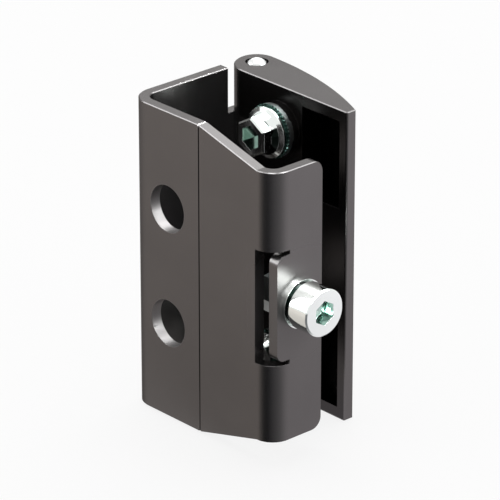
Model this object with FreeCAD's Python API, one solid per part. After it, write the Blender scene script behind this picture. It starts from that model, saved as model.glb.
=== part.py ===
import FreeCAD, Part
import math
import os

# Concealed cabinet hinge, closed. Millimetres, +Z up along the pin.
# The origin is the middle of the two fixing holes, on the outer face of the front wall.
# +X runs along the front wall towards the clamp screw, +Y runs from the front wall to the wing.

# Folded plates of the frame leaf
height = 80.0
sheet = 2.85
sheet_edge_break = 0.2
hole_radius = 6.0
hole_spacing = 30.0
hole_from_side = 14.0
side_depth = 29.75
side_bend_radius = 6.2
seam_from_side = 25.3
seam_corner_radius = 0.7
front_width = 50.75
clamp_wall_depth = 16.2
clamp_bend_radius = 5.3
clamp_corner_radius = 3.0
taper_drop = 5.25
taper_end_from_side = 45.4

# Window through the clamp bend, and the tongue that stands in it
window_height = 29.3
window_past_bend = 0.5
tongue_side_gap = 1.1
tongue_tip_from_front = 1.8
tongue_corner_radius = 2.3

# Pin and the rolled eye of the frame plate
pin_radius = 2.35
pin_running_clearance = 0.05
pin_from_wing_face = 6.65
pin_dome_height = 1.15
pin_dome_stand = 0.85
pin_lower_sink = 0.4
pin_lower_chamfer = 0.4
eye_from_end = 11.8
eye_open_angle = 70.0

# Cast wing
wing_overhang = 0.45
wing_gap = 0.45
wing_width = 44.1
wing_nose_radius = 5.05
wing_back_radius = 89.0
wing_end_round = 0.5
wing_edge_break = 0.2
ear_gap_clearance = 0.3
ear_relief_clearance = 0.5
ear_relief_round = 0.8
ear_counterbore_clearance = 0.5
ear_counterbore_depth = 0.9
boss_radius = 6.5
boss_height = 2.2
boss_draft = 0.15
boss_from_side = 21.0
boss_from_wing_end = 10.7
pocket_left_from_side = 28.5
pocket_right_from_side = 41.5
pocket_end_rim = 3.0
pocket_rib_height = 30.0
pocket_floor_wall = 2.3

# Threads are plain: the screw of a pair is smaller than its hole by this clearance
bolt_radius = 3.0
thread_clearance = 0.02

# Wing bolts and their washers
bolt_hex_across = 9.0
bolt_head_height = 5.6
bolt_hex_chamfer = 0.45
bolt_flange_radius = 6.4
bolt_flange_rim = 0.5
bolt_flange_step_radius = 5.4
bolt_flange_step_height = 1.15
bolt_flange_neck_radius = 4.6
bolt_flange_neck_height = 2.95
bolt_socket_across = 5.5
bolt_socket_depth = 3.2
bolt_thread_in_wing = 6.5
bolt_hole_beyond_thread = 1.0
washer_hole_clearance = 0.2
toothed_thickness = 1.0
toothed_radius = 6.85
toothed_shoulder_radius = 6.1
tooth_thickness = 0.5
tooth_depth = 0.5
tooth_count = 40
tooth_flank = 0.1
tooth_crest = 0.4
plain_thickness = 1.1
plain_radius = 6.75
plain_tab_count = 4
plain_tab_start = -10.0
plain_tab_angle = 46.0
plain_tab_length = 0.5
plain_tab_inner_radius = 5.8
plain_tab_clearance = 0.1

# Clamp screw, its washer and its nut
screw_from_front = 9.4
screw_radius = 3.0
screw_hole_clearance = 0.3
screw_head_radius = 5.95
screw_head_height = 7.2
screw_head_chamfer = 0.35
screw_neck_step = 0.65
screw_neck_height = 1.1
screw_tip = 0.6
screw_socket_across = 5.5
screw_socket_depth = 3.6
screw_cone_depth = 0.9
screw_beyond_nut = 1.5
clamp_washer_radius = 6.15
clamp_washer_thickness = 0.9
nut_across = 9.0
nut_length = 7.6
nut_crown_inset = 0.1
hex_crown_angle = 30.0

# A cut runs past the face that it opens by this much
cut_margin = 1.0

# Places worked out from the sizes
side_x = -hole_from_side
seam_x = side_x + seam_from_side
clamp_x = side_x + front_width
taper_x = side_x + taper_end_from_side
half_height = height / 2
half_clamp_end = half_height - taper_drop
window_reach = clamp_bend_radius + window_past_bend
wing_face_y = side_depth + wing_gap
wing_end_x = side_x + wing_width
half_wing = half_height + wing_overhang
half_eye = half_height - eye_from_end
eye_inner_radius = pin_radius + pin_running_clearance
eye_outer_radius = eye_inner_radius + sheet
pin_x = side_x + eye_outer_radius
pin_y = wing_face_y + pin_from_wing_face
boss_x = side_x + boss_from_side
boss_z = half_wing - boss_from_wing_end
boss_top_y = wing_face_y - boss_height


def vec(x, y, z=0.0):
    return FreeCAD.Vector(x, y, z)


def on_circle(centre, radius, angle):
    turn = math.radians(angle)
    return centre + vec(radius * math.cos(turn), radius * math.sin(turn))


def line(start, end):
    return Part.LineSegment(start, end).toShape()


def arc(centre, radius, start, end):
    """Arc in plan about a centre, from one angle to another in degrees."""
    angles = (start, (start + end) / 2, end)
    return Part.Arc(*[on_circle(centre, radius, angle) for angle in angles]).toShape()


def upright(edges, half):
    """Solid between -half and +half in Z over a closed plan outline."""
    face = Part.Face(Part.Wire(edges))
    face.translate(vec(0, 0, -half))
    return face.extrude(vec(0, 0, 2 * half))


def box(low, high):
    size = high - low
    return Part.makeBox(size.x, size.y, size.z, low)


def turned(profile):
    """Solid of revolution about Z from (radius, height) points."""
    points = [vec(radius, 0, level) for radius, level in profile]
    outline = Part.makePolygon(points + points[:1])
    return Part.Face(outline).revolve(vec(0, 0, 0), vec(0, 0, 1), 360)


def hex_corner(across):
    return across / 2 / math.cos(math.radians(30))


def hexagon(across, bottom, top):
    """Hexagonal prism about Z with two flats facing +X and -X."""
    points = [on_circle(vec(0, 0, bottom), hex_corner(across), 30 + 60 * k) for k in range(7)]
    return Part.Face(Part.makePolygon(points)).extrude(vec(0, 0, top - bottom))


def crown_drop(across, inset):
    """How far a hexagon's crown falls from its flat circle to the corners."""
    run = hex_corner(across) - (across / 2 - inset)
    return run * math.tan(math.radians(hex_crown_angle))


def laid_to_front(shape, x, y, z):
    """Turn a piece made along +Z so that its head faces -Y, and place it."""
    placed = shape.copy()
    placed.rotate(vec(0, 0, 0), vec(1, 0, 0), 90)
    placed.translate(vec(x, y, z))
    return placed


def laid_to_right(shape, x, y, z):
    """Turn a piece made along +Z so that its head faces +X, and place it."""
    placed = shape.copy()
    placed.rotate(vec(0, 0, 0), vec(0, 1, 0), 90)
    placed.translate(vec(x, y, z))
    return placed


def lies_at(edge, axis, level):
    """True for an edge that stays at one level along an axis."""
    box_of = edge.BoundBox
    low = {"x": box_of.XMin, "y": box_of.YMin, "z": box_of.ZMin}[axis]
    high = {"x": box_of.XMax, "y": box_of.YMax, "z": box_of.ZMax}[axis]
    return abs(low - level) < 0.001 and abs(high - level) < 0.001


def is_rim(edge, half):
    return lies_at(edge, "z", half) or lies_at(edge, "z", -half)


def round_edges(shape, radius, wanted):
    return shape.makeFillet(radius, [edge for edge in shape.Edges if wanted(edge)])


def outward(face, point):
    u, v = face.Surface.parameter(point)
    return face.normalAt(u, v)


def break_sharp_edges(shape, size):
    """Chamfer every edge where two faces meet at more than 45 degrees."""
    sharp = []
    for edge in shape.Edges:
        faces = shape.ancestorsOfType(edge, Part.Face)
        middle = edge.valueAt((edge.FirstParameter + edge.LastParameter) / 2)
        if len(faces) == 2:
            first, second = [outward(face, middle) for face in faces]
            if first.getAngle(second) > math.radians(45):
                sharp.append(edge)
    return shape.makeChamfer(size, sharp)


def folded_angle(wall_x, depth, radius):
    """Sheet that runs from the seam along the front, round a bend and back along a wall."""
    inward = 1 if wall_x < seam_x else -1
    centre = vec(wall_x + inward * radius, radius)
    inner_x = wall_x + inward * sheet
    wall_angle = -90 - inward * 90
    edges = [
        line(vec(seam_x, 0), vec(centre.x, 0)),
        arc(centre, radius, -90, wall_angle),
        line(vec(wall_x, radius), vec(wall_x, depth)),
        line(vec(wall_x, depth), vec(inner_x, depth)),
        line(vec(inner_x, depth), vec(inner_x, radius)),
        arc(centre, radius - sheet, wall_angle, -90),
        line(vec(centre.x, sheet), vec(seam_x, sheet)),
        line(vec(seam_x, sheet), vec(seam_x, 0)),
    ]
    return upright(edges, half_height)


def rolled_eye():
    """The narrower strip of the side wall that is rolled round the pin."""
    centre = vec(pin_x, pin_y)
    end_angle = -180 + eye_open_angle
    inner_x = side_x + sheet
    root_y = side_depth - 2 * sheet
    edges = [
        line(vec(side_x, root_y), vec(side_x, pin_y)),
        arc(centre, eye_outer_radius, 180, end_angle),
        line(on_circle(centre, eye_outer_radius, end_angle), on_circle(centre, eye_inner_radius, end_angle)),
        arc(centre, eye_inner_radius, end_angle, 180),
        line(vec(inner_x, pin_y), vec(inner_x, root_y)),
        line(vec(inner_x, root_y), vec(side_x, root_y)),
    ]
    return upright(edges, half_eye)


def frame_plate():
    fold = folded_angle(side_x, side_depth, side_bend_radius)
    fold = round_edges(
        fold, seam_corner_radius,
        lambda edge: lies_at(edge, "x", seam_x) and is_rim(edge, half_height))
    fold = break_sharp_edges(fold, sheet_edge_break)
    plate = fold.fuse(rolled_eye()).removeSplitter()
    for z in (hole_spacing / 2, -hole_spacing / 2):
        hole = Part.makeCylinder(
            hole_radius, sheet + 2 * cut_margin, vec(0, -cut_margin, z), vec(0, 1, 0))
        plate = plate.cut(hole)
    return plate


def front_silhouette():
    """Everything inside the tapered front outline of the clamp plate."""
    right_x = clamp_x + cut_margin
    corners = [
        (seam_x, -half_height), (taper_x, -half_clamp_end), (right_x, -half_clamp_end),
        (right_x, half_clamp_end), (taper_x, half_clamp_end), (seam_x, half_height),
    ]
    points = [vec(x, -cut_margin, z) for x, z in corners]
    outline = Part.Face(Part.makePolygon(points + points[:1]))
    return outline.extrude(vec(0, clamp_wall_depth + 2 * cut_margin, 0))


def tongue():
    """Straight strip of the clamp wall that reaches forward into the window."""
    half = window_height / 2 - tongue_side_gap
    strip = box(
        vec(clamp_x - sheet, tongue_tip_from_front, -half),
        vec(clamp_x, window_reach + cut_margin, half))
    return round_edges(
        strip, tongue_corner_radius,
        lambda edge: lies_at(edge, "y", tongue_tip_from_front) and is_rim(edge, half))


def clamp_plate():
    fold = folded_angle(clamp_x, clamp_wall_depth, clamp_bend_radius)
    plate = fold.common(front_silhouette())
    plate = round_edges(
        plate, clamp_corner_radius,
        lambda edge: lies_at(edge, "y", clamp_wall_depth) and is_rim(edge, half_clamp_end))
    plate = break_sharp_edges(plate, sheet_edge_break)
    window = box(
        vec(clamp_x - window_reach, -cut_margin, -window_height / 2),
        vec(clamp_x + cut_margin, window_reach, window_height / 2))
    plate = plate.cut(window).fuse(tongue()).removeSplitter()
    hole = Part.makeCylinder(
        screw_radius + screw_hole_clearance, sheet + 2 * cut_margin,
        vec(clamp_x - sheet - cut_margin, screw_from_front, 0), vec(1, 0, 0))
    return plate.cut(hole)


def wing_back(offset):
    """The long arc of the wing's back, moved inwards by an offset, and its two ends."""
    centre = vec(pin_x, pin_y + wing_nose_radius - wing_back_radius)
    radius = wing_back_radius - offset
    end_angle = math.degrees(math.acos((wing_end_x - pin_x) / radius))
    edge = arc(centre, radius, 90, end_angle)
    return edge, on_circle(centre, radius, 90), on_circle(centre, radius, end_angle)


def wing_blank():
    """The whole outline of the wing: a nose round the pin, a flat face and an arched back."""
    nose_x = pin_x - wing_nose_radius
    foot_radius = pin_y - wing_face_y
    foot_centre = vec(nose_x + foot_radius, pin_y)
    back, back_start, back_end = wing_back(0)
    edges = [
        arc(foot_centre, foot_radius, -90, -180),
        arc(vec(pin_x, pin_y), wing_nose_radius, 180, 90),
        back,
        line(back_end, vec(back_end.x, wing_face_y)),
        line(vec(back_end.x, wing_face_y), vec(foot_centre.x, wing_face_y)),
    ]
    blank = upright(edges, half_wing)
    blank = round_edges(
        blank, wing_end_round,
        lambda edge: lies_at(edge, "x", wing_end_x) and not is_rim(edge, half_wing))
    blank = break_sharp_edges(blank, wing_edge_break)
    return blank.common(wing_silhouette())


def wing_silhouette():
    """Block that rounds the top and the bottom edge of the wing's end face."""
    block = box(
        vec(side_x - cut_margin, wing_face_y - cut_margin, -half_wing),
        vec(wing_end_x, pin_y + wing_nose_radius + cut_margin, half_wing))
    return round_edges(
        block, wing_end_round,
        lambda edge: lies_at(edge, "x", wing_end_x) and is_rim(edge, half_wing))


def wing_pocket(side):
    """One cored pocket, whose floor keeps an even wall to the back."""
    floor, floor_start, floor_end = wing_back(pocket_floor_wall)
    core = upright([
        floor,
        line(floor_end, vec(floor_end.x, boss_top_y)),
        line(vec(floor_end.x, boss_top_y), vec(floor_start.x, boss_top_y)),
        line(vec(floor_start.x, boss_top_y), floor_start),
    ], half_wing)
    ends = sorted([side * pocket_rib_height / 2, side * (half_wing - pocket_end_rim)])
    limits = box(
        vec(side_x + pocket_left_from_side, boss_top_y, ends[0]),
        vec(side_x + pocket_right_from_side, pin_y + wing_nose_radius, ends[1]))
    return core.common(limits)


def ear_gap():
    """The room between the ears, for the rolled eye through its whole swing."""
    half = half_eye + ear_gap_clearance
    relief_x = pin_x + eye_outer_radius + ear_relief_clearance
    room = box(
        vec(side_x - cut_margin, wing_face_y - cut_margin, -half),
        vec(relief_x, pin_y + wing_nose_radius + cut_margin, half))
    return round_edges(
        room, ear_relief_round,
        lambda edge: lies_at(edge, "x", relief_x) and is_rim(edge, half))


def hinge_wing():
    wing = wing_blank().cut(ear_gap())
    boss_foot = boss_radius + boss_draft
    for z in (boss_z, -boss_z):
        boss = Part.makeCone(boss_radius, boss_foot, boss_height, vec(boss_x, boss_top_y, z), vec(0, 1, 0))
        root = Part.makeCylinder(boss_foot, cut_margin, vec(boss_x, wing_face_y, z), vec(0, 1, 0))
        wing = wing.fuse(boss).fuse(root)
    wing = wing.removeSplitter()
    thread_depth = boss_height + bolt_thread_in_wing + bolt_hole_beyond_thread
    for side in (1, -1):
        thread = Part.makeCylinder(
            bolt_radius + thread_clearance, thread_depth,
            vec(boss_x, boss_top_y, side * boss_z), vec(0, 1, 0))
        counterbore = Part.makeCylinder(
            pin_radius + ear_counterbore_clearance, ear_counterbore_depth,
            vec(pin_x, pin_y, side * half_wing), vec(0, 0, -side))
        wing = wing.cut(thread).cut(counterbore).cut(wing_pocket(side))
        for notch in washer_tabs(boss_radius + cut_margin, plain_tab_clearance):
            wing = wing.cut(laid_to_front(notch, boss_x, boss_top_y, side * boss_z))
    bore = Part.makeCylinder(pin_radius, 2 * half_wing, vec(pin_x, pin_y, -half_wing))
    return wing.cut(bore).removeSplitter()


def hinge_pin():
    """Plain pin: a dome stands proud at the top, the lower end stays inside the ear."""
    top = half_wing + pin_dome_stand
    shoulder = top - pin_dome_height
    bottom = -half_wing + pin_lower_sink
    ball = (pin_radius ** 2 + pin_dome_height ** 2) / (2 * pin_dome_height)
    shank = turned([
        (0, bottom),
        (pin_radius - pin_lower_chamfer, bottom),
        (pin_radius, bottom + pin_lower_chamfer),
        (pin_radius, shoulder),
        (0, shoulder),
    ])
    dome = Part.makeSphere(ball, vec(0, 0, top - ball)).common(
        Part.makeCylinder(pin_radius, pin_dome_height, vec(0, 0, shoulder)))
    pin = shank.fuse(dome).removeSplitter()
    pin.translate(vec(pin_x, pin_y))
    return pin


def flange_bolt():
    """Hexagon flange bolt along +Z, with its bearing face at Z = 0."""
    length = plain_thickness + toothed_thickness + boss_height + bolt_thread_in_wing
    body = turned([
        (0, -length),
        (bolt_radius, -length),
        (bolt_radius, 0),
        (bolt_flange_radius, 0),
        (bolt_flange_radius, bolt_flange_rim),
        (bolt_flange_step_radius, bolt_flange_step_height),
        (bolt_flange_neck_radius, bolt_flange_neck_height),
        (0, bolt_flange_neck_height),
    ])
    head = hexagon(bolt_hex_across, bolt_flange_rim / 2, bolt_head_height)
    front = [edge for edge in head.Edges if lies_at(edge, "z", bolt_head_height)]
    head = head.makeChamfer(bolt_hex_chamfer, front)
    socket = hexagon(
        bolt_socket_across, bolt_head_height - bolt_socket_depth, bolt_head_height + cut_margin)
    return body.fuse(head).removeSplitter().cut(socket)


def toothed_washer():
    """Lock washer with square teeth round its rim at Z = 0 and a plain shoulder above them."""
    root = toothed_radius - tooth_depth
    step = 360 / tooth_count
    tooth = [
        (root, 0),
        (toothed_radius, tooth_flank),
        (toothed_radius, tooth_flank + tooth_crest),
        (root, 2 * tooth_flank + tooth_crest),
    ]
    points = [
        on_circle(vec(0, 0), radius, (count + share) * step)
        for count in range(tooth_count)
        for radius, share in tooth
    ]
    disc = Part.Face(Part.makePolygon(points + points[:1])).extrude(vec(0, 0, tooth_thickness))
    shoulder = Part.makeCylinder(toothed_shoulder_radius, toothed_thickness)
    hole = Part.makeCylinder(bolt_radius + washer_hole_clearance, toothed_thickness)
    return disc.fuse(shoulder).removeSplitter().cut(hole)


def flat_washer(outer, inner, thickness):
    return Part.makeCylinder(outer, thickness).cut(Part.makeCylinder(inner, thickness))


def washer_tabs(outer, clearance):
    """Arched tabs just below Z = 0, made larger all round by a clearance."""
    inner = plain_tab_inner_radius - clearance
    depth = plain_tab_length + clearance
    spread = math.degrees(clearance / boss_radius)
    centre = vec(0, 0, -depth)
    tabs = []
    for count in range(plain_tab_count):
        start = plain_tab_start + count * 360 / plain_tab_count - spread
        end = start + plain_tab_angle + 2 * spread
        edges = [
            arc(centre, outer, start, end),
            line(on_circle(centre, outer, end), on_circle(centre, inner, end)),
            arc(centre, inner, end, start),
            line(on_circle(centre, inner, start), on_circle(centre, outer, start)),
        ]
        tabs.append(Part.Face(Part.Wire(edges)).extrude(vec(0, 0, depth)))
    return tabs


def tabbed_washer():
    """Plain washer from Z = 0 up, whose tabs seat in the notches of a boss below it."""
    disc = flat_washer(plain_radius, bolt_radius + washer_hole_clearance, plain_thickness)
    for tab in washer_tabs(boss_radius, 0):
        disc = disc.fuse(tab)
    return disc.removeSplitter()


def clamp_screw():
    """Socket head screw along +Z, with its bearing face at Z = 0."""
    length = clamp_washer_thickness + sheet + nut_length + screw_beyond_nut
    neck_radius = screw_head_radius - screw_neck_step
    body = turned([
        (0, -length),
        (screw_radius - screw_tip, -length),
        (screw_radius, -length + screw_tip),
        (screw_radius, 0),
        (neck_radius, 0),
        (neck_radius, screw_neck_height),
        (screw_head_radius, screw_neck_height),
        (screw_head_radius, screw_head_height - screw_head_chamfer),
        (screw_head_radius - screw_head_chamfer, screw_head_height),
        (0, screw_head_height),
    ])
    floor = screw_head_height - screw_socket_depth
    socket = hexagon(screw_socket_across, floor, screw_head_height + cut_margin)
    socket.rotate(vec(0, 0, 0), vec(0, 0, 1), 90)
    drilled = Part.makeCone(
        0, screw_socket_across / 2, screw_cone_depth, vec(0, 0, floor - screw_cone_depth))
    return body.cut(socket).cut(drilled)


def clamp_nut():
    """Long hexagon nut along +Z, with its crowned end at Z = 0."""
    corner = hex_corner(nut_across)
    drop = crown_drop(nut_across, nut_crown_inset)
    crown = turned([
        (0, 0),
        (nut_across / 2 - nut_crown_inset, 0),
        (corner, drop),
        (corner, nut_length),
        (0, nut_length),
    ])
    bore = Part.makeCylinder(screw_radius + thread_clearance, nut_length)
    return hexagon(nut_across, 0, nut_length).common(crown).cut(bore)


def build():
    nodes = {
        "frame_plate": frame_plate(),
        "clamp_plate": clamp_plate(),
        "hinge_wing": hinge_wing(),
        "hinge_pin": hinge_pin(),
    }
    toothed_y = boss_top_y - plain_thickness
    bolt_y = toothed_y - toothed_thickness
    plain = tabbed_washer()
    toothed = toothed_washer()
    bolt = flange_bolt()
    for name, z in (("upper", boss_z), ("lower", -boss_z)):
        nodes[name + "_plain_washer"] = laid_to_front(plain, boss_x, boss_top_y, z)
        nodes[name + "_toothed_washer"] = laid_to_front(toothed, boss_x, toothed_y, z)
        nodes[name + "_wing_bolt"] = laid_to_front(bolt, boss_x, bolt_y, z)
    disc = flat_washer(
        clamp_washer_radius, screw_radius + screw_hole_clearance, clamp_washer_thickness)
    nodes["clamp_washer"] = laid_to_right(disc, clamp_x, screw_from_front, 0)
    nodes["clamp_screw"] = laid_to_right(
        clamp_screw(), clamp_x + clamp_washer_thickness, screw_from_front, 0)
    nodes["clamp_nut"] = laid_to_right(
        clamp_nut(), clamp_x - sheet - nut_length, screw_from_front, 0)
    return nodes


def export(nodes):
    os.makedirs("parts", exist_ok=True)
    for name, shape in nodes.items():
        solids = shape.Solids
        if len(solids) == 1:
            shape = solids[0]
        print(name, "solids", len(solids), "valid", shape.isValid(), "volume", round(shape.Volume, 2))
        shape.exportStep("parts/" + name + ".step")


export(build())
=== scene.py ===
import math
import bpy
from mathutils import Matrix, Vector


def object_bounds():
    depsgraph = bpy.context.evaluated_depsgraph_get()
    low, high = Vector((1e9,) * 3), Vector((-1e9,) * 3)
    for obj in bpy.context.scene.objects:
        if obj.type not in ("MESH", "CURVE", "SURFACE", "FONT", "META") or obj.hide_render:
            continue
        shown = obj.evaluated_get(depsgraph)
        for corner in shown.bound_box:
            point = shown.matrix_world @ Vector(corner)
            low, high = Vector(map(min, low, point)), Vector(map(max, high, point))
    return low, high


# Cabinet hinge, shown closed: two folded plates, a cast wing on its pin, zinc fasteners.
# Places and lengths are in metres, as in the frame.

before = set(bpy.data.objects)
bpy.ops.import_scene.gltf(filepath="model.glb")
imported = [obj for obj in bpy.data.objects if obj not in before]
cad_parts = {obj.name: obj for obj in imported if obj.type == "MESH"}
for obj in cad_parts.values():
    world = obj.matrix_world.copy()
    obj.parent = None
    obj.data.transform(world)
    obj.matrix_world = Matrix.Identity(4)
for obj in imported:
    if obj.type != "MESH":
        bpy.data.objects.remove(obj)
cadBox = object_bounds()
print("frame loaded:", len(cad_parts), "nodes")


# Camera

shot = {
    "place": (0.67816, -0.59046, 0.40378),
    "azimuth": 47.70,   # degrees that the view is turned from +Y towards -X
    "elevation": 23.96,   # degrees that it looks down
    "lens": 296.22,   # millimetres, like the sensor
    "sensor": 36.0,
}


def makeCamera(shot):
    lens = bpy.data.cameras.new("camera")
    lens.lens = shot["lens"]
    lens.sensor_width = shot["sensor"]
    camera = bpy.data.objects.new("camera", lens)
    camera.location = shot["place"]
    camera.rotation_euler = (math.radians(90 - shot["elevation"]), 0, math.radians(shot["azimuth"]))
    bpy.context.collection.objects.link(camera)
    bpy.context.scene.camera = camera


makeCamera(shot)
bpy.context.scene.view_settings.view_transform = "Standard"
print("camera placed")


# Shader maths: a wrapped socket takes part in plain expressions

class Amount:
    def __init__(self, nodes, socket):
        self.nodes = nodes
        self.socket = socket

    def __add__(self, other):
        return self.nodes.maths("ADD", self, other)

    def __radd__(self, other):
        return self.nodes.maths("ADD", other, self)

    def __sub__(self, other):
        return self.nodes.maths("SUBTRACT", self, other)

    def __rsub__(self, other):
        return self.nodes.maths("SUBTRACT", other, self)

    def __mul__(self, other):
        return self.nodes.maths("MULTIPLY", self, other)

    def __rmul__(self, other):
        return self.nodes.maths("MULTIPLY", other, self)


class NodeSheet:
    def __init__(self, holder):
        holder.use_nodes = True
        self.tree = holder.node_tree
        self.tree.nodes.clear()

    # Any node: its settings come first, then the values or links of its sockets.
    # It gives back the outputs that are asked for.
    def add(self, kind, settings, inputs, *outputs):
        made = self.tree.nodes.new(kind)
        for name, setting in settings.items():
            if name == "stops":
                self.setStops(made.color_ramp, setting)
            else:
                setattr(made, name, setting)
        for name, given in inputs.items():
            if isinstance(given, Amount):
                self.tree.links.new(given.socket, made.inputs[name])
            else:
                made.inputs[name].default_value = given
        wrapped = [Amount(self, made.outputs[name]) for name in outputs]
        return wrapped[0] if len(wrapped) == 1 else wrapped

    def setStops(self, ramp, stops):
        ramp.elements.remove(ramp.elements[1])
        ramp.elements[0].position = stops[0][0]
        ramp.elements[0].color = stops[0][1]
        for place, colour in stops[1:]:
            ramp.elements.new(place).color = colour

    def maths(self, operation, first, second):
        return self.add("ShaderNodeMath", {"operation": operation}, {0: first, 1: second}, "Value")

    def vector(self, operation, inputs):
        return self.add("ShaderNodeVectorMath", {"operation": operation}, inputs, "Vector")

    # Vector maths that ends in a plain number
    def measure(self, operation, inputs):
        return self.add("ShaderNodeVectorMath", {"operation": operation}, inputs, "Value")

    # Goes smoothly from first to last while the value goes from low to high
    def ease(self, value, low, high, first=0.0, last=1.0):
        return self.add("ShaderNodeMapRange", {"interpolation_type": "SMOOTHSTEP"}, {
            "Value": value, "From Min": low, "From Max": high, "To Min": first, "To Max": last,
        }, "Result")


# Studio

plainWhite = (1, 1, 1, 1)

studio = {
    "floorSize": 8.0,
    "floorColour": (0.85, 0.85, 0.85, 1),
    "floorGlow": 0.85,   # share of plain white that the camera and the metal see in the floor
    "skyLight": 0.6,   # strength of the white room on matt surfaces
    "lampDistance": 1.2,
    # Each lamp: azimuth and elevation in degrees, width, height, brightness
    "overhead": (130, 72, 1.0, 0.8, 3.0),
    # Softboxes that every piece mirrors
    "mirrored": {
        "left": (122, 45, 0.9, 0.5, 2.95),
        "back": (138, 22, 0.7, 0.4, 1.2),
        "right": (56, 44, 0.8, 0.6, 4.4),
        "frontLeft": (211, 38, 0.5, 0.35, 5.6),
        "frontLow": (223, 14, 0.5, 0.5, 5.0),
    },
    # Softboxes that only the outer pieces mirror
    "outer": {
        "front": (252, 44, 0.7, 0.4, 9.0),
        "frontRight": (294, 44, 0.8, 0.5, 12.0),
        "key": (335, 42, 0.7, 0.5, 9.0),
        "keyRight": (18, 44, 0.5, 0.5, 24.0),
        "lip": (309, 66, 0.5, 0.3, 9.0),
    },
    "outerPieces": ("frame_plate", "clamp_plate", "clamp_screw", "clamp_washer"),
    # Softboxes whose light also passes through whatever stands in its way, with their pieces
    "fills": {
        "holeSide": ((46, 22, 0.5, 0.5, 11.0), ("frame_plate",)),
        "holeFoot": ((97, 54, 0.8, 0.4, 15.0), ("frame_plate",)),
        "washerTop": ((92, 52, 0.9, 0.8, 1.6), ("upper_plain_washer", "lower_plain_washer")),
        "teeth": ((92, 52, 0.9, 0.8, 2.5), ("upper_toothed_washer", "lower_toothed_washer")),
    },
    "panelTint": (0.96, 0.99, 1.0),
}

# Round card on the floor that only the metal sees, and what it shows at each azimuth in degrees
card = {
    "radius": 0.6,
    "corners": 64,
    "clearOfFloor": 0.0003,
    "centre": (0.034, 0.003, 0.0),   # under the clamp bend
    "darkRadius": 0.03,
    "lightRadius": 0.2,
    "darkShare": 0.8,
    "shades": (
        (-180, (1.08, 1.03, 1.00, 1)),
        (-157, (0.80, 0.745, 0.71, 1)),
        (-125, (0.87, 0.795, 0.75, 1)),
        (-112, (0.44, 0.41, 0.39, 1)),
        (-92, (0.07, 0.07, 0.07, 1)),
        (-70, (0.03, 0.03, 0.035, 1)),
        (-48, (0.17, 0.17, 0.18, 1)),
        (-5, (0.46, 0.46, 0.47, 1)),
        (42, (1.11, 1.07, 1.11, 1)),
        (100, (1.11, 1.07, 1.11, 1)),
        (180, (1.08, 1.03, 1.00, 1)),
    ),
}


# One for rays from the camera, off metal and through glass, zero for the light on matt surfaces
def whiteForMirrors(nodes):
    camera, metal, glass = nodes.add(
        "ShaderNodeLightPath", {}, {}, "Is Camera Ray", "Is Glossy Ray", "Is Transmission Ray")
    return nodes.maths("MAXIMUM", nodes.maths("MAXIMUM", camera, metal), glass)


def makeRoom(studio):
    world = bpy.data.worlds.new("room")
    bpy.context.scene.world = world
    nodes = NodeSheet(world)
    mirrors = whiteForMirrors(nodes)
    strength = mirrors + (1 - mirrors) * studio["skyLight"]
    light = {"Color": plainWhite, "Strength": strength}
    sky = nodes.add("ShaderNodeBackground", {}, light, "Background")
    nodes.add("ShaderNodeOutputWorld", {}, {"Surface": sky})


def makeFloor(studio, level):
    bpy.ops.mesh.primitive_plane_add(size=studio["floorSize"], location=(0, 0, level))
    floor = bpy.context.object
    floor.name = "floor"
    paint = bpy.data.materials.new("floorPaint")
    nodes = NodeSheet(paint)
    matt = nodes.add("ShaderNodeBsdfDiffuse", {}, {"Color": studio["floorColour"]}, "BSDF")
    glow = nodes.add("ShaderNodeEmission", {}, {"Color": plainWhite, "Strength": 1.0}, "Emission")
    share = whiteForMirrors(nodes) * studio["floorGlow"]
    both = nodes.add("ShaderNodeMixShader", {}, {0: share, 1: matt, 2: glow}, "Shader")
    nodes.add("ShaderNodeOutputMaterial", {}, {"Surface": both})
    floor.data.materials.append(paint)


def makeCard(card, level):
    bpy.ops.mesh.primitive_circle_add(
        vertices=card["corners"], radius=card["radius"], fill_type="NGON",
        location=(0, 0, level + card["clearOfFloor"]))
    disc = bpy.context.object
    disc.name = "reflectionCard"
    for ray in ("camera", "diffuse", "transmission", "volume_scatter", "shadow"):
        setattr(disc, "visible_" + ray, False)
    paint = bpy.data.materials.new("cardPaint")
    nodes = NodeSheet(paint)
    place = nodes.add("ShaderNodeTexCoord", {}, {}, "Object")
    away = nodes.vector("SUBTRACT", {0: place, 1: card["centre"]})
    across, inward = nodes.add("ShaderNodeSeparateXYZ", {}, {0: away}, "X", "Y")
    turn = nodes.maths("ARCTAN2", inward, across) * (0.5 / math.pi) + 0.5   # 0 to 1 round the card
    stops = [((azimuth + 180) / 360, shade) for azimuth, shade in card["shades"]]
    shade = nodes.add("ShaderNodeValToRGB", {"stops": stops}, {"Fac": turn}, "Color")
    share = nodes.ease(
        nodes.measure("LENGTH", {0: away}),
        card["darkRadius"], card["lightRadius"], card["darkShare"], 1.0)
    shown = nodes.vector("SCALE", {0: shade, "Scale": share})
    glow = nodes.add("ShaderNodeEmission", {}, {"Color": shown, "Strength": 1.0}, "Emission")
    nodes.add("ShaderNodeOutputMaterial", {}, {"Surface": glow})
    disc.data.materials.append(paint)


def makeSoftbox(name, azimuth, elevation, width, height, brightness):
    lamp = bpy.data.lights.new(name, "AREA")
    lamp.shape = "RECTANGLE"
    lamp.size = width
    lamp.size_y = height
    lamp.energy = brightness * math.pi * width * height
    across = math.cos(math.radians(elevation))
    direction = Vector((
        across * math.cos(math.radians(azimuth)),
        across * math.sin(math.radians(azimuth)),
        math.sin(math.radians(elevation)),
    ))
    box = bpy.data.objects.new(name, lamp)
    box.location = direction * studio["lampDistance"]
    box.rotation_euler = direction.to_track_quat("Z", "Y").to_euler()
    bpy.context.collection.objects.link(box)
    return box


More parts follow.
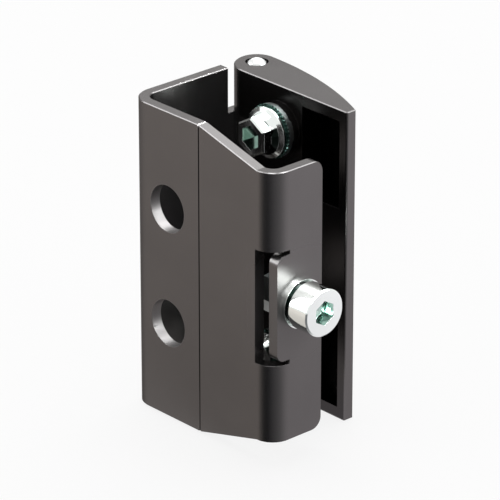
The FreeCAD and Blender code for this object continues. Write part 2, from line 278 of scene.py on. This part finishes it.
# Metal mirrors this softbox, and nothing else is lit by it
def makeMirrored(name, place):
    box = makeSoftbox(name, *place)
    box.data.color = studio["panelTint"]
    box.visible_diffuse = False
    box.visible_camera = False
    return box


# Only the named pieces mirror this one
def makeFor(pieces, name, place):
    box = makeMirrored(name, place)
    lit = bpy.data.collections.new(name + "Lit")
    for piece in pieces:
        lit.objects.link(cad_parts[piece])
    box.light_linking.receiver_collection = lit
    return box


def makeFill(pieces, name, place):
    lamp = makeFor(pieces, name, place).data
    lamp.use_shadow = False
    lamp.cycles.use_multiple_importance_sampling = False


makeRoom(studio)
makeFloor(studio, cadBox[0].z)
makeCard(card, cadBox[0].z)
makeSoftbox("overhead", *studio["overhead"])
for name, place in studio["mirrored"].items():
    makeMirrored(name, place)
for name, place in studio["outer"].items():
    makeFor(studio["outerPieces"], name, place)
for name, (place, pieces) in studio["fills"].items():
    makeFill(pieces, name, place)
print("studio lit")


# What all finishes share

cloudDetail = 3.0
grainDetail = 2.0
edgeSamples = 6

# The Mix node's colour sockets share their names with others, so they go by number
mixFirst = 6
mixSecond = 7
mixResult = 2

sideways = (1, 0, 0)   # along the front wall
inwards = (0, 1, 0)   # from the front wall to the wing
upwards = (0, 0, 1)
far = 1.0   # no point of the hinge lies so far out, so this is no limit


def startFinish(name):
    finish = bpy.data.materials.new(name)
    nodes = NodeSheet(finish)
    place = nodes.add("ShaderNodeTexCoord", {}, {}, "Object")
    return finish, nodes, place


def mottle(nodes, place, scale, detail):
    inputs = {"Vector": place, "Scale": scale, "Detail": detail}
    return nodes.add("ShaderNodeTexNoise", {}, inputs, "Fac")


def blend(nodes, share, first, second):
    inputs = {"Factor": share, mixFirst: first, mixSecond: second}
    return nodes.add("ShaderNodeMix", {"data_type": "RGBA"}, inputs, mixResult)


# Soft clouds between a dark and a light shade
def cloudy(nodes, place, scale, shades):
    clouds = mottle(nodes, place, scale, cloudDetail)
    return blend(nodes, clouds, shades["dark"], shades["light"])


# One where a value lies between two limits, zero elsewhere, with soft sides
def between(nodes, value, limits, softness):
    low, high = limits
    above = nodes.ease(value, low - softness, low + softness)
    below = nodes.ease(value, high - softness, high + softness, 1.0, 0.0)
    return above * below


# The same for a place, between two planes that stand square to a direction
def slab(nodes, place, direction, limits, softness):
    along = nodes.measure("DOT_PRODUCT", {0: place, 1: direction})
    return between(nodes, along, limits, softness)


def inBox(nodes, place, box, softness):
    width = slab(nodes, place, sideways, box["across"], softness)
    depth = slab(nodes, place, inwards, box["depth"], softness)
    height = slab(nodes, place, upwards, box["height"], softness)
    return width * depth * height


# Distance from a point, measured only in the directions that are given as 1
def reachFrom(nodes, place, point, directions):
    away = nodes.vector("SUBTRACT", {0: place, 1: point})
    flat = nodes.vector("MULTIPLY", {0: away, 1: directions})
    return nodes.measure("LENGTH", {0: flat})


# One on a round spot about an axis, which may be shifted from it. The reach drops the signs of
# a place, so that one axis above the middle also serves its twin below.
def onSpot(nodes, place, axis, spot):
    mirrored = nodes.vector("ABSOLUTE", {0: place})
    centre = Vector(axis["point"]) + Vector(spot.get("shift", (0, 0, 0)))
    reach = reachFrom(nodes, mirrored, centre, axis["across"])
    ring = between(nodes, reach, spot["reach"], spot["softness"])
    return ring * slab(nodes, place, axis["along"], spot["depth"], spot["softness"])


# Metal with a fine grain in its roughness and relief, and slightly rounded edges
def closeFinish(nodes, place, colour, roughness, surface):
    grain = mottle(nodes, place, surface["grainScale"], grainDetail)
    edge = {"Radius": surface["edge"]}
    rounded = nodes.add("ShaderNodeBevel", {"samples": edgeSamples}, edge, "Normal")
    relief = nodes.add("ShaderNodeBump", {}, {
        "Height": grain,
        "Strength": 1.0,
        "Distance": surface["grainDepth"],
        "Normal": rounded,
    }, "Normal")
    shader = nodes.add("ShaderNodeBsdfPrincipled", {}, {
        "Base Color": colour,
        "Metallic": 1.0,
        "Roughness": roughness + (grain - 0.5) * surface["roughnessChange"],
        "Specular Tint": surface["edgeTint"],
        "Normal": relief,
    }, "BSDF")
    nodes.add("ShaderNodeOutputMaterial", {}, {"Surface": shader})


# Dark coat of the plates and the wing

coat = {
    "dark": (0.122, 0.116, 0.115, 1),
    "light": (0.146, 0.139, 0.137, 1),
    "cloudScale": 60.0,   # soft clouds about 15 mm across
    "grainScale": 5200.0,   # fine grain of about 0.2 mm
    "roughness": 0.26,
    "roughnessChange": 0.05,
    "edgeTint": (0.35, 0.35, 0.35, 1),
    "grainDepth": 0.000004,
    "edge": 0.00006,
}

# Dark line where the two front plates meet, up to just under their top edge
seam = {
    "across": (0.01112, 0.01148),
    "height": (-far, 0.0391),
    "softness": 0.00006,
    "shade": (0.02, 0.019, 0.019, 1),
}

# Painted shade on the inner face of the side wall, darker towards the lower end
sideWallShade = {
    "across": (-0.0114, -0.0108),
    "depth": (0.0030, 0.0295),
    "softness": 0.0001,
    "height": (-far, -0.004),
    "fade": 0.006,
    "shade": (0.055, 0.053, 0.052, 1),
}

clampAxis = {"point": (0, 0.0094, 0), "across": (0, 1, 1), "along": sideways}
boreAxis = {"point": (0, 0, 0.015), "across": (1, 0, 1), "along": inwards}
boltAxis = {"point": (0.007, 0, 0.02975), "across": (1, 0, 1), "along": inwards}

# The coat is a little matt where the clamp screw rubs it, and matter inside the two fixing holes
matt = {
    "rubbed": {
        "axis": clampAxis,
        "reach": (-far, 0.0125),
        "depth": (0.030, 0.060),
        "softness": 0.003,
        "roughnessChange": 0.13,
    },
    "bores": {
        "axis": boreAxis,
        "reach": (-far, 0.0061),
        "depth": (-0.001, 0.0029),
        "softness": 0.00005,
        "roughnessChange": 0.20,
    },
}


def plateCoat(coat, seam, sideWallShade, matt):
    finish, nodes, place = startFinish("plateCoat")
    colour = cloudy(nodes, place, coat["cloudScale"], coat)
    line = slab(nodes, place, sideways, seam["across"], seam["softness"])
    under = slab(nodes, place, upwards, seam["height"], seam["softness"])
    colour = blend(nodes, line * under, colour, seam["shade"])
    # Painted shade low on the inner face of the side wall
    width = slab(nodes, place, sideways, sideWallShade["across"], sideWallShade["softness"])
    depth = slab(nodes, place, inwards, sideWallShade["depth"], sideWallShade["softness"])
    low = slab(nodes, place, upwards, sideWallShade["height"], sideWallShade["fade"])
    colour = blend(nodes, width * depth * low, colour, sideWallShade["shade"])
    roughness = coat["roughness"]
    for spot in matt.values():
        roughness = roughness + onSpot(nodes, place, spot["axis"], spot) * spot["roughnessChange"]
    closeFinish(nodes, place, colour, roughness, coat)
    return finish


# Painted shade on the inner side of the wing: the face with the bosses, and the pockets,
# which an arc parts from the wing's curved back
innerSideShade = {
    "softness": 0.00004,
    "face": {
        "across": (-0.0089, 0.0298),
        "depth": (0.0275, 0.03024),
        "height": (-0.0401, 0.0401),
        "shade": (0.055, 0.052, 0.052, 1),
    },
    "pockets": {
        "across": (0.0144, 0.0276),
        "depth": (0.0303, far),
        "height": (-0.0375, 0.0375),
        "shade": (0.03, 0.028, 0.028, 1),
    },
    "arcCentre": (-0.00875, -0.0471, 0),
    "arcReach": (-far, 0.0878),
}


def wingCoat(coat, innerSideShade):
    finish, nodes, place = startFinish("wingCoat")
    softness = innerSideShade["softness"]
    face = innerSideShade["face"]
    pockets = innerSideShade["pockets"]
    colour = cloudy(nodes, place, coat["cloudScale"], coat)
    # Painted shade over the inner face, then deeper painted shade in the pockets
    colour = blend(nodes, inBox(nodes, place, face, softness), colour, face["shade"])
    reach = reachFrom(nodes, place, innerSideShade["arcCentre"], (1, 1, 0))
    inPockets = inBox(nodes, place, pockets, softness)
    inPockets = inPockets * between(nodes, reach, innerSideShade["arcReach"], softness)
    colour = blend(nodes, inPockets, colour, pockets["shade"])
    closeFinish(nodes, place, colour, coat["roughness"], coat)
    return finish


# Zinc of the fasteners, and the steel of the pin

zinc = {
    "bolt": {"dark": (0.80, 0.845, 0.82, 1), "light": (0.88, 0.925, 0.90, 1), "roughness": 0.10},
    # The toothed washers' zinc is painted dark and teal: painted shade and painted reflection
    "washer": {"dark": (0.05, 0.10, 0.085, 1), "light": (0.11, 0.19, 0.165, 1), "roughness": 0.24},
    # The plain washers are dull zinc whose colour is also darkened as painted shade
    "plain": {"dark": (0.17, 0.19, 0.185, 1), "light": (0.24, 0.26, 0.255, 1), "roughness": 0.34},
    "pin": {"dark": (0.78, 0.80, 0.79, 1), "light": (0.86, 0.87, 0.86, 1), "roughness": 0.2},
}
zincGrain = {
    "cloudScale": 240.0,
    "grainScale": 9000.0,
    "roughnessChange": 0.05,
    "edgeTint": plainWhite,
    "grainDepth": 0.000002,
    "edge": 0.0001,
}

# Painted shade on the bolts: darker spots from the head inwards, some tinted teal as painted
# reflection
wingBolt = {
    "axis": boltAxis,
    "spots": {
        # Painted shade and teal painted reflection inside the hex socket
        "socket": {
            "reach": (-far, 0.0033),
            "depth": (0.0208, 0.03),
            "softness": 0.0001,
            "paintedShade": (0.45, 0.56, 0.51, 1),
        },
        # Painted shade in a ring round the foot of the hex
        "neckRim": {
            "reach": (0.0046, 0.0058),
            "depth": (0.0229, 0.0232),
            "softness": 0.0001,
            "paintedShade": (0.12, 0.15, 0.14, 1),
        },
        # Painted shade over the side of the flange that the light misses
        "flangeShade": {
            "shift": (0.0050, 0, -0.0012),
            "reach": (-far, 0.0040),
            "depth": (0.0229, 0.0248),
            "softness": 0.0002,
            "paintedShade": (0.004, 0.006, 0.005, 1),
        },
    },
}
clampScrew = {
    "axis": clampAxis,
    "spots": {
        # Painted shade and teal painted reflection inside the socket
        "socket": {
            "reach": (-far, 0.0033),
            "depth": (0.0400, 0.0446),
            "softness": 0.0001,
            "paintedShade": (0.56, 0.70, 0.65, 1),
        },
        # Painted shade in the neck under the head
        "neck": {
            "reach": (-far, 0.0056),
            "depth": (0.0376, 0.0387),
            "softness": 0.00008,
            "paintedShade": (0.0005, 0.003, 0.002, 1),
        },
    },
}


def brightZinc(name, shades, screw=None):
    finish, nodes, place = startFinish(name)
    colour = cloudy(nodes, place, zincGrain["cloudScale"], shades)
    # Painted shade on the screw's spots, where a screw is given
    for spot in screw["spots"].values() if screw else ():
        colour = blend(nodes, onSpot(nodes, place, screw["axis"], spot), colour, spot["paintedShade"])
    closeFinish(nodes, place, colour, shades["roughness"], zincGrain)
    return finish


# Finishes of the nodes, by the slot that each carries

finishes = {
    "plate_coat": plateCoat(coat, seam, sideWallShade, matt),
    "wing_coat": wingCoat(coat, innerSideShade),
    "pin_steel": brightZinc("pinSteel", zinc["pin"]),
    "bolt_zinc": brightZinc("boltZinc", zinc["bolt"], wingBolt),
    "washer_zinc": brightZinc("shadedWasherZinc", zinc["washer"]),
    "plain_zinc": brightZinc("shadedPlainZinc", zinc["plain"]),
}
# Two nodes differ from the rest of their slot
own = {
    "clamp_screw": brightZinc("screwZinc", zinc["bolt"], clampScrew),
    # The clamp nut takes the plain washers' zinc, darkened as painted shade
    "clamp_nut": finishes["plain_zinc"],
}

for name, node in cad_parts.items():
    for slot in node.material_slots:
        slot.material = own.get(name) or finishes[slot.material.name.split(".")[0]]
print("finishes given to the nodes")
